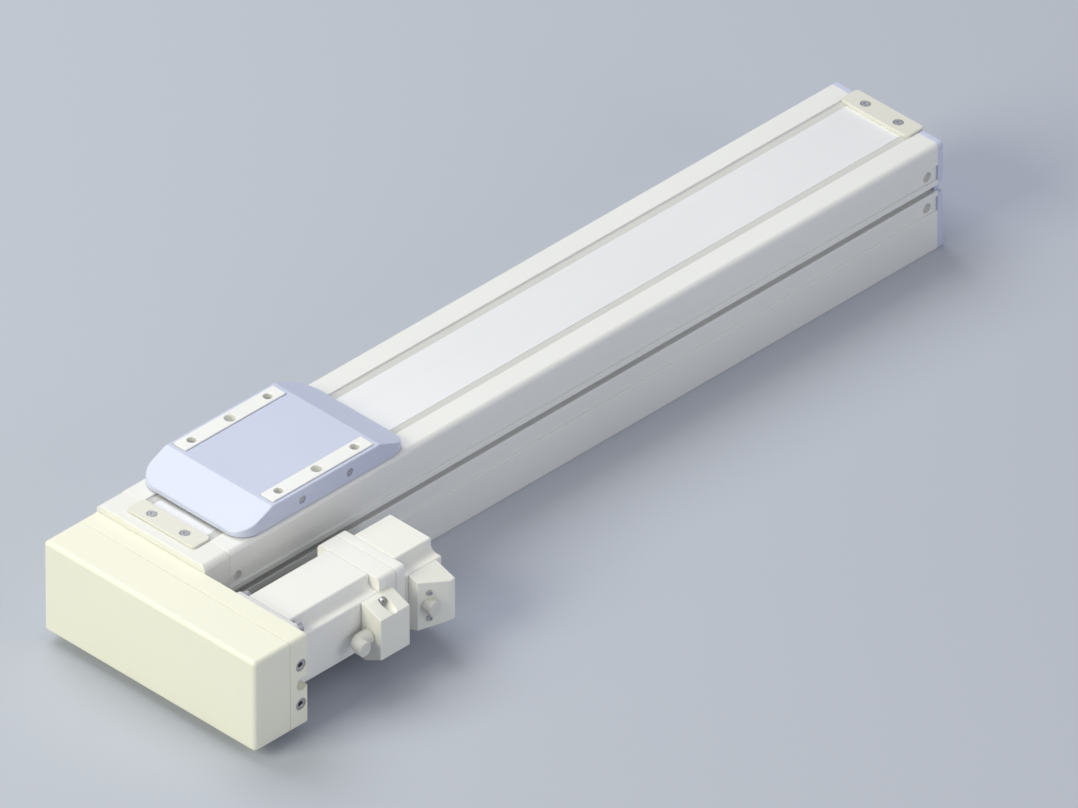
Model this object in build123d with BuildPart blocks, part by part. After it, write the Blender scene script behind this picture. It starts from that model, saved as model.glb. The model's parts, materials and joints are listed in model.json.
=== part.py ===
"""Ball screw linear module with a sealing strip and a folded-back servo motor.

X points from the screw to the motor, Y runs along the module away from the belt box, Z is up.
The origin is on the mounting face, at the middle of the profile's length. Sizes are in millimetres.
"""
import math
import os

from build123d import *

os.makedirs("parts", exist_ok=True)

# Extruded profile
profile_length = 685.0
profile_width = 105.0
profile_height = 87.0
profile_corner = 4.0
floor_thickness = 14.0
side_wall = 13.0
roof_thickness = 8.0
opening_width = 42.0
channel_depth = 1.4
slot_drop = 36.4
slot_mouth = 5.0
slot_lip = 2.4
slot_cavity_height = 9.0
slot_cavity_depth = 5.2
band_height = 12.2
band_depth = 1.8
band_pitch = 25.9
chamber_width = 16.0
chamber_height = 6.0
chamber_spacing = 20.0

# Holes in the profile
side_hole_diameter = 7.6
side_hole_depth = 7.0
side_hole_pitch = 26.0
side_hole_drop = 1.1
side_hole_inset = 9.0
base_hole_diameter = 6.8
base_hole_depth = 8.0
base_hole_inset = 13.5
base_hole_end_inset = 72.5
base_hole_count = 4
end_hole_diameter = 4.2
end_hole_depth = 16.0
end_hole_inset = 7.0
end_hole_low = 8.0
end_hole_drop = 12.0

# Sealing strip and its magnets
strip_lap = 4.9
strip_thickness = 0.3
magnet_width = 11.0
magnet_thickness = 1.2
magnet_wall = 0.5
magnet_gap = 0.1
strip_side_gap = 0.5

# Guide rails and runner blocks
rail_width = 12.0
rail_height = 8.0
rail_end_gap = 17.0
rail_groove_radius = 1.4
rail_groove_height = 4.8
rail_screw_inset = 25.5
rail_screw_count = 6
rail_bolt = 3.0
rail_head_depth = 3.5
rail_thread_depth = 7.0
runner_width = 25.0
runner_length = 44.0
runner_skirt = 2.5
runner_height = 13.0
runner_end_inset = 2.9
runner_side_gap = 1.0
running_gap = 0.3
bolt_gap = 0.25
seat_gap = 0.1
edge_break = 1.0

# Ball screw, nut and bearings
screw_height = 43.0
screw_diameter = 16.0
journal_diameter = 12.0
bearing_outer = 28.0
bearing_width = 8.0
bearing_ring = 3.0
ring_gap = 0.05
ring_spread = 0.5
journal_overhang = 1.5
nut_diameter = 28.0
nut_length = 46.0
nut_flange_diameter = 44.0
nut_flange_thickness = 8.0
nut_bolt = 4.0
nut_thread_depth = 8.0
nut_end_room = 1.0
screw_room = 1.0
lock_nut_diameter = 20.0
lock_nut_length = 10.0
lock_slot_width = 4.0
lock_slot_depth = 1.2
thread_gap = 0.25

# Drive end block and far end plate
block_corner = 4.8
retainer_diameter = 42.0
retainer_thickness = 4.0
retainer_bore_gap = 0.5
bearing_shoulder = 4.0
end_plate_thickness = 6.3
end_plate_edge = 2.0
end_plate_notch_depth = 4.0
far_support_length = 14.5
far_bearing_inset = 2.0
end_bolt_head = 8.5
end_bolt_head_height = 4.5
end_bolt_reach = 6.0
end_screw_head = 8.4
end_screw_length = 17.0
end_screw_cone = 2.0
end_screw_socket = 3.4
end_screw_sink = 0.2

# Strip clamps
clamp_length = 17.1
clamp_thickness = 3.2
clamp_corner = 3.0
clamp_hole_diameter = 7.4
clamp_hole_spacing = 31.8
near_clamp_reach = 1.7
far_clamp_reach = 6.4
clamp_bolt = 3.0
clamp_bolt_length = 8.0
clamp_head_sink = 1.6
clamp_head_gap = 0.3
strip_end_inset = 1.0

# Belt box
box_past_belt = 25.0
box_below_belt = 11.8
box_above_belt = 15.1
box_edge = 3.3
box_gap = 0.1
plate_thickness = 16.2
cover_depth = 34.0
cover_wall = 4.0
cover_inner_radius = 2.0
tension_hole_diameter = 10.6
tension_hole_depth = 9.0
tension_hole_y = 4.6
tension_hole_drop = 0.4
side_screw_head = 8.8
side_screw_spacing = 32.3
side_screw_y = 6.0
side_screw_height = 8.2
side_screw_drop = 0.7
side_bolt = 5.0
side_bolt_length = 10.0
plate_bolt = 6.0
plate_bolt_row = 64.0
plate_bolt_pitch = 50.0
plate_bore_gap = 2.0
plate_screw_sink = 6.5
plate_screw_length = 20.0
block_bolt_depth = 14.0
block_screw_sink = 5.0
cover_bolt = 3.3
cover_bolt_row = 81.5
cover_bolt_inset = 7.0
cover_bolt_sink = 4.4
cover_bolt_length = 20.0
cover_bolt_head = 7.0
cover_bolt_head_height = 4.0
cover_boss = 7.8
cover_boss_length = 14.0

# Toothed belt drive
belt_pitch = 5.0
pulley_teeth = 28
belt_teeth = 69
tooth_depth = 2.0
belt_back = 1.7
belt_width = 18.0
belt_clearance = 0.3
belt_side_gap = 1.0
pitch_line = 0.6
pulley_flange = 1.5
pulley_rim = 2.4

# Motor
motor_size = 60.0
motor_corner = 4.0
recess_size = 10.0
recess_inner_radius = 4.9
recess_outer_radius = 1.6
adapter_thickness = 4.0
flange_thickness = 7.6
motor_body_length = 75.4
end_bell_length = 16.2
encoder_base_length = 8.7
encoder_cover_length = 35.1
seam_bevel = 0.4
encoder_bevel_size = 0.8
encoder_wall = 2.5
pilot_diameter = 50.0
pilot_height = 3.0
motor_bolt_inset = 5.25
motor_bolt_diameter = 5.0
motor_bolt_depth = 11.0
motor_shaft_diameter = 14.0
rotor_diameter = 30.0
stator_gap = 0.6
shaft_room = 8.0
motor_bearing_outer = 32.0
motor_bearing_width = 9.0
rotor_end_gap = 2.0
shaft_past_pulley = 1.0
encoder_shaft_length = 14.0
encoder_disc_diameter = 36.0
encoder_disc_thickness = 2.0
encoder_disc_place = 8.0

# Motor connectors
power_before_bell = 17.8
power_length = 28.1
power_reach = 19.5
power_base_below = 25.9
power_base_above = 20.0
power_face_below = 18.6
power_face_above = 14.3
power_edge = 0.8
notch_radius = 3.6
notch_inset = 2.6
connector_screw_head = 5.0
connector_head_height = 2.6
connector_bolt = 2.5
connector_land = 5.0
power_cable_diameter = 11.0
power_cable_bend = 7.5
power_cable_reach = 14.0
power_cable_x = 8.2
power_cable_drop = 2.8
power_cable_turn = 10.7
encoder_after_base = 2.8
encoder_length = 26.3
encoder_step = 8.7
encoder_reach = 18.8
encoder_slant = 21.1
encoder_face_below = 19.0
encoder_face_above = 14.0
encoder_bevel = 6.0
encoder_cable_diameter = 11.6
encoder_cable_y = 7.7
encoder_cable_drop = 2.6
encoder_screw_pitch = 21.0
encoder_screw_head = 4.2
encoder_screw_height = 1.6

# Slide
slide_start = 12.65
slide_side_gap = 1.0
slide_length = 160.5
slide_plan_radius = 16.0
slide_gap = 0.7
slide_band_height = 3.7
slide_height = 16.5
flat_end_margin = 2.1
slide_edge = 0.7
cover_sheet = 2.0
pad_width = 12.6
pad_end_inset = 1.5
pad_inset = 9.2
pad_rise = 0.9
pad_gap = 0.15
pad_corner = 1.0
table_gap = 1.0
table_floor = 5.6
table_channel_gap = 1.6
tapped_hole_diameter = 6.8
tapped_hole_depth = 13.0
dowel_hole_diameter = 8.0
dowel_hole_depth = 9.0
table_hole_offset = 0.3
table_hole_inset = 11.55
cover_screw_y = 22.6
cover_screw_rise = 7.5
cover_screw_diameter = 5.8
cover_screw_head = 1.4
cover_screw_bolt = 2.6
cover_screw_length = 5.5
cover_screw_gap = 0.1

# Saddle inside the profile
saddle_end_inset = 7.35
saddle_side_gap = 1.0
saddle_wing = 15.0
neck_side_gap = 1.5
saddle_roof_gap = 1.5
neck_bolt = 5.0
neck_bolt_row = 24.0
neck_bolt_inset = 14.4
neck_bolt_depth = 14.0
neck_bolt_head_height = 2.8
neck_bolt_sink = 3.2

# Strip rollers in the slide's noses
press_roller_inset = 11.3
lift_roller_inset = 23.3
roller_diameter = 6.0
roller_end_inset = 0.9
roller_pin_diameter = 3.0
roller_bore_gap = 0.05
roller_edge = 0.5
strip_overlap = 4.0
holder_cheek = 5.0
holder_floor_gap = 0.6
holder_end_gap = 0.5
holder_bar = 4.05

# Rubber stops
bumper_diameter = 12.0
bumper_inset = 8.5
bumper_gap = 0.5
slide_back_travel = 6.0
far_bumper_length = 10.2

# Places worked out from the sizes above
near_end = -profile_length / 2
far_end = profile_length / 2
half_width = profile_width / 2
end_hole_row = profile_width - 2 * end_hole_inset
end_hole_high = profile_height - end_hole_drop
base_hole_row = profile_width - 2 * base_hole_inset
base_hole_pitch = (profile_length - 2 * base_hole_end_inset) / (base_hole_count - 1)
slot_centre_z = profile_height - slot_drop
side_hole_z = slot_centre_z - side_hole_drop
channel_width = opening_width + 2 * (magnet_wall + magnet_width + magnet_gap)
channel_floor = profile_height - channel_depth
strip_width = opening_width + 2 * strip_lap
strip_top = channel_floor + strip_thickness
cavity_width = profile_width - 2 * side_wall
roof_bottom = profile_height - roof_thickness
rail_spacing = cavity_width - runner_width - 2 * runner_side_gap
slide_width = profile_width - 2 * slide_side_gap
slide_near = near_end + slide_start
slide_y = slide_near + slide_length / 2
slide_far = slide_near + slide_length
slide_bottom = profile_height + slide_gap
slide_band_top = slide_bottom + slide_band_height
slide_top = slide_bottom + slide_height
table_bottom = profile_height + table_gap
table_end_inset = lift_roller_inset + roller_diameter / 2 + holder_end_gap + holder_bar
table_length = slide_length - 2 * table_end_inset
pad_length = table_length - 2 * pad_end_inset
slide_flat_length = table_length + 2 * flat_end_margin
pad_centre = slide_width / 2 - pad_inset
table_hole_row = 2 * (pad_centre - table_hole_offset)
table_hole_pitch = pad_length - 2 * table_hole_inset
cover_screw_z = slide_bottom + cover_screw_rise
block_length = bearing_shoulder + 2 * bearing_width + retainer_thickness
block_outer = near_end - block_length
plate_back = block_outer - box_gap
plate_front = plate_back - plate_thickness
cover_front = plate_front - cover_depth
pulley_pitch_diameter = pulley_teeth * belt_pitch / math.pi
pulley_outer = pulley_pitch_diameter - 2 * pitch_line
motor_x = (belt_teeth - pulley_teeth) * belt_pitch / 2
belt_inner_radius = pulley_outer / 2 + belt_clearance
belt_outer_radius = belt_inner_radius + belt_back
box_right = motor_x + belt_outer_radius + box_past_belt
box_width = half_width + box_right
box_centre_x = (box_right - half_width) / 2
box_bottom = screw_height - belt_outer_radius - box_below_belt
box_top = screw_height + belt_outer_radius + box_above_belt
box_height = box_top - box_bottom
box_centre_z = (box_bottom + box_top) / 2
belt_plane = (cover_front + cover_wall + plate_front) / 2
adapter_near = plate_back
flange_near = adapter_near + adapter_thickness
motor_near = flange_near + flange_thickness
bell_near = motor_near + motor_body_length
encoder_base_near = bell_near + end_bell_length
encoder_near = encoder_base_near + encoder_base_length
rail_bottom = floor_thickness
rail_top = rail_bottom + rail_height
runner_top = rail_bottom + runner_height
runner_bottom = rail_bottom + runner_skirt
rail_length = profile_length - 2 * rail_end_gap
rail_screw_pitch = (rail_length - 2 * rail_screw_inset) / (rail_screw_count - 1)
saddle_length = slide_length - 2 * saddle_end_inset
saddle_near = slide_y - saddle_length / 2
runner_spacing = saddle_length - runner_length - 2 * runner_end_inset
near_clamp_y = near_end + near_clamp_reach - clamp_length / 2
far_clamp_y = far_end + far_clamp_reach - clamp_length / 2
bearing_far_end = near_end - bearing_shoulder
bearing_near_end = bearing_far_end - 2 * bearing_width
far_support_near = far_end - far_support_length
far_bearing_near = far_support_near + far_bearing_inset
strip_mid = channel_floor + strip_thickness / 2
clamp_width = channel_width - 2 * seat_gap
clamp_top = channel_floor + clamp_thickness
clamp_screw_x = clamp_hole_spacing / 2
press_roller_z = strip_top + running_gap + roller_diameter / 2
strip_high = table_bottom + table_floor + running_gap + strip_thickness / 2
lift_roller_z = strip_high - strip_thickness / 2 - running_gap - roller_diameter / 2
slot_zs = (slot_centre_z - band_pitch / 2, slot_centre_z + band_pitch / 2)


def across(y):
    """Plane across the module at a given Y, sketched in X and Z; its extrusions go towards -Y."""
    return Plane.XZ.offset(-y)


def save(part, label):
    part.label = label
    export_step(part, f"parts/{label}.step")


def head_of(bolt):
    """Head diameter of a socket head cap screw."""
    return 1.5 * bolt + 1.0


def screw_solid(bolt, length, head=None, height=None):
    """Socket head screw on the Z axis: its seat is at Z 0, the head above and the shank below."""
    head = head or head_of(bolt)
    height = height or bolt
    with BuildPart() as screw:
        Cylinder(head / 2, height, align=(Align.CENTER, Align.CENTER, Align.MIN))
        Cylinder(bolt / 2, length, align=(Align.CENTER, Align.CENTER, Align.MAX))
        with BuildSketch(Plane.XY.offset(height)):
            RegularPolygon(0.45 * bolt, 6)
        extrude(amount=-height / 2, mode=Mode.SUBTRACT)
    return screw.part


def facing(points, y, turn):
    """Places at one Y for pieces that look along Y: turn -90 looks to +Y and 90 to -Y."""
    return [Location((x, y, z), (turn, 0, 0)) for x, z in points]


def ring_solid(outer, inner, y_start, y_end, x=0.0, z=screw_height):
    """Plain ring about an axis along Y."""
    with BuildPart() as ring:
        with BuildSketch(across(y_start)):
            with Locations((x, z)):
                Circle(outer / 2)
                Circle(inner / 2, mode=Mode.SUBTRACT)
        extrude(amount=y_start - y_end)
    return ring.part


def rods(y, diameter, length, points):
    """Cylinders along Y, from one Y towards the far end."""
    with BuildPart() as group:
        with BuildSketch(across(y)):
            with Locations(*points):
                Circle(diameter / 2)
        extrude(amount=-length)
    return group.part


def bore(y, diameter, length, points):
    """Round holes along Y in the part being made, from one Y towards the far end."""
    add(rods(y, diameter, length, points), mode=Mode.SUBTRACT)


def rectangle_points(x_spacing, y_spacing, x=0.0, y=0.0):
    """The four corners of a rectangle of holes."""
    return [
        (x + sx * x_spacing / 2, y + sy * y_spacing / 2)
        for sx in (-1, 1)
        for sy in (-1, 1)
    ]


# Profile: one extrusion with the carriage cavity, the strip channel, T-slots and shallow side bands
end_holes = [(x, z) for x in (-end_hole_row / 2, end_hole_row / 2) for z in (end_hole_low, end_hole_high)]
plate_screw_points = rectangle_points(plate_bolt_row, plate_bolt_pitch, 0, screw_height)
magnet_x = opening_width / 2 + magnet_wall + magnet_width / 2
rail_xs = (-rail_spacing / 2, rail_spacing / 2)
rail_hole_ys = [(i - (rail_screw_count - 1) / 2) * rail_screw_pitch for i in range(rail_screw_count)]
rail_holes = [(x, y) for x in rail_xs for y in rail_hole_ys]

with BuildPart() as profile:
    with BuildSketch(across(near_end)) as profile_section:
        with Locations((0, profile_height / 2)):
            Rectangle(profile_width, profile_height)
        top_corners = profile_section.vertices().group_by(Axis.Y)[-1]
        fillet(top_corners, profile_corner)
        with Locations((0, floor_thickness)):
            Rectangle(cavity_width, roof_bottom - floor_thickness, align=(Align.CENTER, Align.MIN),
                      mode=Mode.SUBTRACT)
        with Locations((0, profile_height)):
            Rectangle(opening_width, 3 * roof_thickness, mode=Mode.SUBTRACT)
            Rectangle(channel_width, 2 * channel_depth, mode=Mode.SUBTRACT)
        with Locations((-magnet_x, channel_floor), (magnet_x, channel_floor)):
            Rectangle(magnet_width, 2 * magnet_thickness, mode=Mode.SUBTRACT)
        with Locations(*[(side * half_width, z) for side in (-1, 1) for z in slot_zs]):
            Rectangle(2 * band_depth, band_height, mode=Mode.SUBTRACT)
        with Locations((-half_width, slot_centre_z), (half_width, slot_centre_z)):
            Rectangle(4 * slot_lip, slot_mouth, mode=Mode.SUBTRACT)
        with Locations(*[(side * (half_width - slot_lip - slot_cavity_depth / 2), slot_centre_z)
                         for side in (-1, 1)]):
            Rectangle(slot_cavity_depth, slot_cavity_height, mode=Mode.SUBTRACT)
        with Locations(*[(side * chamber_spacing / 2, floor_thickness / 2) for side in (-1, 1)]):
            SlotOverall(chamber_width, chamber_height, mode=Mode.SUBTRACT)
    extrude(amount=-profile_length)
    with BuildSketch(Plane.XY) as base_holes:
        with GridLocations(base_hole_row, base_hole_pitch, 2, base_hole_count):
            Circle(base_hole_diameter / 2)
    extrude(amount=base_hole_depth, mode=Mode.SUBTRACT)
    for end, direction in ((near_end, -1), (far_end, 1)):
        with BuildSketch(across(end)):
            with Locations(*end_holes):
                Circle(end_hole_diameter / 2)
        extrude(amount=direction * end_hole_depth, mode=Mode.SUBTRACT)
    with Locations(*[(x, y, floor_thickness) for x, y in rail_holes]):
        Hole(rail_bolt / 2, rail_thread_depth)
    for side in (-1, 1):
        with BuildSketch(Plane.YZ.offset(side * half_width)):
            with Locations((0, side_hole_z)):
                with GridLocations(profile_length - 2 * side_hole_inset, side_hole_pitch, 2, 2):
                    Circle(side_hole_diameter / 2)
        extrude(amount=-side * side_hole_depth, mode=Mode.SUBTRACT)
save(profile.part, "profile")


# Guide rails on the cavity floor, with counterbored screws
def rail_section(x, grow=0.0):
    """Rail outline with its two ball grooves, grown by a running gap where a runner goes round it."""
    with BuildSketch(Plane.XZ, mode=Mode.PRIVATE) as section:
        with Locations((x, rail_bottom + rail_height / 2)):
            Rectangle(rail_width, rail_height)
        with Locations(*[(x + side * rail_width / 2, rail_bottom + rail_groove_height) for side in (-1, 1)]):
            Circle(rail_groove_radius, mode=Mode.SUBTRACT)
        if grow:
            offset(amount=grow, kind=Kind.INTERSECTION)
    return section.sketch


for side, x in zip(("left", "right"), rail_xs):
    with BuildPart() as rail:
        with BuildSketch(across(-rail_length / 2)):
            add(rail_section(x))
        extrude(amount=-rail_length)
        with Locations(*[(x, y, rail_top) for y in rail_hole_ys]):
            CounterBoreHole(rail_bolt / 2 + bolt_gap, head_of(rail_bolt) / 2 + bolt_gap, rail_head_depth,
                            rail_height)
    save(rail.part, f"rail_{side}")

with BuildPart() as rail_screws:
    with Locations(*[(x, y, rail_top - rail_head_depth) for x, y in rail_holes]):
        add(screw_solid(rail_bolt, rail_height - rail_head_depth + rail_thread_depth - edge_break))
save(rail_screws.part, "rail_screws")

# Magnet bands that hold the strip down
with BuildPart() as magnet_bands:
    with BuildSketch(across(near_end)):
        with Locations((-magnet_x, channel_floor), (magnet_x, channel_floor)):
            Rectangle(magnet_width - 2 * magnet_gap, magnet_thickness, align=(Align.CENTER, Align.MAX))
    extrude(amount=-profile_length)
save(magnet_bands.part, "magnet_bands")


def clamp_pocket(y):
    """Shallow pocket that a strip clamp drops into."""
    with Locations((0, y)):
        RectangleRounded(clamp_width + 2 * seat_gap, clamp_length + 2 * seat_gap, clamp_corner)


# Drive end block with the fixed bearing seat
with BuildPart() as drive_end_block:
    with BuildSketch(across(block_outer)) as block_section:
        with Locations((0, profile_height / 2)):
            Rectangle(profile_width, profile_height)
        fillet(block_section.vertices().group_by(Axis.Y)[-1], block_corner)
    extrude(amount=-block_length)
    with BuildSketch(Plane.XY.offset(channel_floor)):
        clamp_pocket(near_clamp_y)
        with Locations((0, near_end)):
            Rectangle(clamp_width + 2 * seat_gap, 2 * near_clamp_reach)
    extrude(amount=2 * channel_depth, mode=Mode.SUBTRACT)
    with BuildSketch(across(block_outer)):
        with Locations((0, screw_height)):
            Circle(retainer_diameter / 2)
    extrude(amount=-retainer_thickness, mode=Mode.SUBTRACT)
    with BuildSketch(across(bearing_near_end)):
        with Locations((0, screw_height)):
            Circle(bearing_outer / 2)
    extrude(amount=-2 * bearing_width, mode=Mode.SUBTRACT)
    with BuildSketch(across(block_outer)):
        with Locations((0, screw_height)):
            Circle(bearing_outer / 2 - bearing_ring)
        with Locations(*end_holes):
            Circle(end_hole_diameter / 2 + bolt_gap)
    extrude(amount=-block_length, mode=Mode.SUBTRACT)
    with BuildSketch(across(block_outer)):
        with Locations(*end_holes):
            Circle(end_bolt_head / 2 + bolt_gap)
    extrude(amount=-block_screw_sink, mode=Mode.SUBTRACT)
    with Locations(*[(side * clamp_screw_x, near_clamp_y, channel_floor) for side in (-1, 1)]):
        Hole(clamp_bolt / 2, clamp_bolt_length)
    bore(block_outer, plate_bolt, block_bolt_depth, plate_screw_points)
save(drive_end_block.part, "drive_end_block")

save(ring_solid(retainer_diameter - 2 * seat_gap, lock_nut_diameter + 2 * retainer_bore_gap,
                block_outer, block_outer + retainer_thickness), "bearing_retainer")


def bearing_rings(y_starts, outer, bore, width, x=0.0):
    """Outer and inner rings of ball bearings along Y, as two lists of solids."""
    race = bore + 2 * bearing_ring - 2 * ring_spread
    outers = [ring_solid(outer, outer - 2 * bearing_ring, y, y + width, x) for y in y_starts]
    inners = [ring_solid(race, bore, y, y + width, x) for y in y_starts]
    return outers, inners


def group_of(solids):
    """One node holding several separate solids."""
    with BuildPart() as group:
        for solid in solids:
            add(solid)
    return group.part


ring_width = bearing_width - ring_gap
screw_outers, screw_inners = bearing_rings(
    (bearing_near_end, bearing_near_end + bearing_width, far_bearing_near),
    bearing_outer, journal_diameter, ring_width)
motor_outers, motor_inners = bearing_rings(
    (motor_near, bell_near - motor_bearing_width), motor_bearing_outer, motor_shaft_diameter,
    motor_bearing_width, motor_x)
save(group_of(screw_outers + motor_outers), "bearing_outer_rings")
save(group_of(screw_inners), "screw_inner_rings")
save(group_of(motor_inners), "motor_inner_rings")

# Far support: a bearing block set into the profile's end, closed by the end plate
with BuildPart() as far_support:
    with BuildSketch(across(far_support_near)):
        with Locations((0, floor_thickness)):
            Rectangle(cavity_width - 2 * running_gap, roof_bottom - floor_thickness - running_gap,
                      align=(Align.CENTER, Align.MIN))
            Rectangle(opening_width - 2 * running_gap, channel_floor - floor_thickness,
                      align=(Align.CENTER, Align.MIN))
    extrude(amount=-far_support_length)
    bore(far_bearing_near, bearing_outer, far_support_length, [(0, screw_height)])
    bore(far_support_near, bearing_outer - 2 * bearing_ring, far_support_length, [(0, screw_height)])
    with Locations(*[(side * clamp_screw_x, far_clamp_y, channel_floor) for side in (-1, 1)]):
        Hole(clamp_bolt / 2, clamp_bolt_length)
save(far_support.part, "far_support")

far_plate_face = far_end + end_plate_thickness
with BuildPart() as far_end_plate:
    with BuildSketch(across(far_end)) as plate_section:
        with Locations((0, profile_height / 2)):
            Rectangle(profile_width, profile_height)
        fillet(plate_section.vertices().group_by(Axis.Y)[-1], profile_corner)
        with Locations((-half_width, slot_centre_z), (half_width, slot_centre_z)):
            Rectangle(2 * end_plate_notch_depth, slot_cavity_height, mode=Mode.SUBTRACT)
    extrude(amount=-end_plate_thickness)
    outer_rim = far_end_plate.faces().sort_by(Axis.Y)[-1].outer_wire().edges()
    chamfer(outer_rim, end_plate_edge)
    with BuildSketch(Plane.XY.offset(channel_floor)):
        clamp_pocket(far_clamp_y)
        with Locations((0, far_end)):
            Rectangle(clamp_width + 2 * seat_gap, end_plate_thickness)
    extrude(amount=2 * channel_depth, mode=Mode.SUBTRACT)
    with Locations(*facing(end_holes, far_plate_face, -90)):
        CounterSinkHole(end_hole_diameter / 2 + bolt_gap, end_screw_head / 2 + end_screw_sink,
                        end_plate_thickness)
save(far_end_plate.part, "far_end_plate")

with BuildPart() as plate_screw:
    Cylinder(end_hole_diameter / 2, end_screw_length, align=(Align.CENTER, Align.CENTER, Align.MAX))
    Cone(end_hole_diameter / 2, end_screw_head / 2, end_screw_cone,
         align=(Align.CENTER, Align.CENTER, Align.MAX))
    with BuildSketch():
        RegularPolygon(end_screw_socket / 2, 6)
    extrude(amount=-end_screw_cone + bolt_gap, mode=Mode.SUBTRACT)
with BuildPart() as end_plate_screws:
    with Locations(*facing(end_holes, far_plate_face - end_screw_sink, -90)):
        add(plate_screw.part)
save(end_plate_screws.part, "end_plate_screws")

# Strip clamps with their screws
for name, y in (("near", near_clamp_y), ("far", far_clamp_y)):
    with BuildPart() as clamp:
        with BuildSketch(Plane.XY.offset(channel_floor)):
            with Locations((0, y)):
                RectangleRounded(clamp_width, clamp_length, clamp_corner - seat_gap)
        extrude(amount=clamp_thickness)
        with BuildSketch(Plane.XY.offset(channel_floor)):
            with Locations((0, y)):
                Rectangle(strip_width + 2 * strip_side_gap, clamp_length)
        extrude(amount=strip_thickness, mode=Mode.SUBTRACT)
        with Locations(*[(side * clamp_screw_x, y, clamp_top) for side in (-1, 1)]):
            CounterBoreHole(clamp_bolt / 2 + bolt_gap, clamp_hole_diameter / 2, clamp_head_sink,
                            clamp_thickness)
    save(clamp.part, f"strip_clamp_{name}")

with BuildPart() as clamp_screws:
    with Locations(*[(side * clamp_screw_x, y, clamp_top - clamp_head_sink)
                     for side in (-1, 1) for y in (near_clamp_y, far_clamp_y)]):
        add(screw_solid(clamp_bolt, clamp_bolt_length, clamp_hole_diameter - 2 * clamp_head_gap,
                        clamp_head_sink - seat_gap))
save(clamp_screws.part, "clamp_screws")

# Sealing strip: two flat lengths and the stretch that the rollers lift over the slide
hump_start = slide_near + press_roller_inset - strip_overlap
hump_end = slide_far - press_roller_inset + strip_overlap
strip_start = near_clamp_y - clamp_length / 2 + strip_end_inset
strip_end = far_clamp_y + clamp_length / 2 - strip_end_inset
for name, start, end, clamp_y in (("near", strip_start, hump_start, near_clamp_y),
                                  ("far", hump_end, strip_end, far_clamp_y)):
    with BuildPart() as strip:
        with BuildSketch(Plane.XY.offset(channel_floor)):
            with Locations((0, (start + end) / 2)):
                Rectangle(strip_width, end - start)
            with Locations((-clamp_screw_x, clamp_y), (clamp_screw_x, clamp_y)):
                Circle(clamp_bolt / 2 + bolt_gap, mode=Mode.SUBTRACT)
        extrude(amount=strip_thickness)
    save(strip.part, f"strip_{name}")

press_y = slide_near + press_roller_inset
lift_y = slide_near + lift_roller_inset
path_radius = roller_diameter / 2 + running_gap + strip_thickness / 2
roller_distance = math.hypot(lift_y - press_y, lift_roller_z - press_roller_z)
rise_angle = math.asin(2 * path_radius / roller_distance) + math.atan2(
    lift_roller_z - press_roller_z, lift_y - press_y)
rise_mid_y = (press_y + lift_y) / 2
rise_mid_z = (press_roller_z + lift_roller_z) / 2
low_bend_y = rise_mid_y - (rise_mid_z - strip_mid) / math.tan(rise_angle)
high_bend_y = rise_mid_y + (strip_high - rise_mid_z) / math.tan(rise_angle)
with BuildPart() as strip_hump:
    with BuildSketch(Plane.YZ.offset(-strip_width / 2)):
        with BuildLine() as hump_line:
            FilletPolyline(
                (hump_start, strip_mid),
                (low_bend_y, strip_mid),
                (high_bend_y, strip_high),
                (2 * slide_y - high_bend_y, strip_high),
                (2 * slide_y - low_bend_y, strip_mid),
                (hump_end, strip_mid),
                radius=path_radius,
            )
        trace(hump_line.edges(), strip_thickness)
    extrude(amount=strip_width)
save(strip_hump.part, "strip_hump")

# Belt box: a thick plate behind and a deep cover in front
cover_bolt_pitch = box_height - 2 * cover_bolt_inset
cover_bolt_points = rectangle_points(cover_bolt_row, cover_bolt_pitch, motor_x, box_centre_z)
motor_axis = (motor_x, screw_height)
motor_bolt_spacing = motor_size - 2 * motor_bolt_inset
motor_bolt_points = rectangle_points(motor_bolt_spacing, motor_bolt_spacing, motor_x, screw_height)
side_screw_zs = [screw_height - side_screw_drop + side * side_screw_spacing / 2 for side in (-1, 1)]


def box_outline():
    """Rounded outline shared by the belt box's plate and cover."""
    with Locations((box_centre_x, box_centre_z)):
        RectangleRounded(box_width, box_height, box_edge)


with BuildPart() as box_plate:
    with BuildSketch(across(plate_back)):
        box_outline()
    extrude(amount=plate_thickness)
    chamfer(box_plate.faces().sort_by(Axis.Y)[0].outer_wire().edges(), seam_bevel)
    through = plate_thickness
    bore(plate_front, lock_nut_diameter + 2 * plate_bore_gap, through, [(0, screw_height)])
    bore(plate_front, motor_shaft_diameter + 2 * shaft_room, through, [motor_axis])
    bore(plate_front, plate_bolt + 2 * bolt_gap, through, plate_screw_points)
    bore(plate_front, head_of(plate_bolt) + 2 * bolt_gap, plate_screw_sink, plate_screw_points)
    bore(plate_front, cover_bolt + 2 * bolt_gap, through, cover_bolt_points)
    bore(plate_back - cover_bolt_sink, cover_boss, cover_bolt_sink, cover_bolt_points)
    bore(plate_back - motor_bolt_depth, motor_bolt_diameter, motor_bolt_depth, motor_bolt_points)
    with BuildSketch(Plane.YZ.offset(box_right)):
        with Locations((plate_back - tension_hole_y, screw_height - tension_hole_drop)):
            Circle(tension_hole_diameter / 2)
        with Locations(*[(plate_back - side_screw_y, z) for z in side_screw_zs]):
            Circle(side_screw_head / 2 + bolt_gap)
    extrude(amount=-tension_hole_depth, mode=Mode.SUBTRACT)
    with BuildSketch(Plane.YZ.offset(box_right)):
        with Locations(*[(plate_back - side_screw_y, z) for z in side_screw_zs]):
            Circle(side_bolt / 2)
    extrude(amount=-tension_hole_depth - side_bolt_length, mode=Mode.SUBTRACT)
save(box_plate.part, "box_plate")

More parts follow.
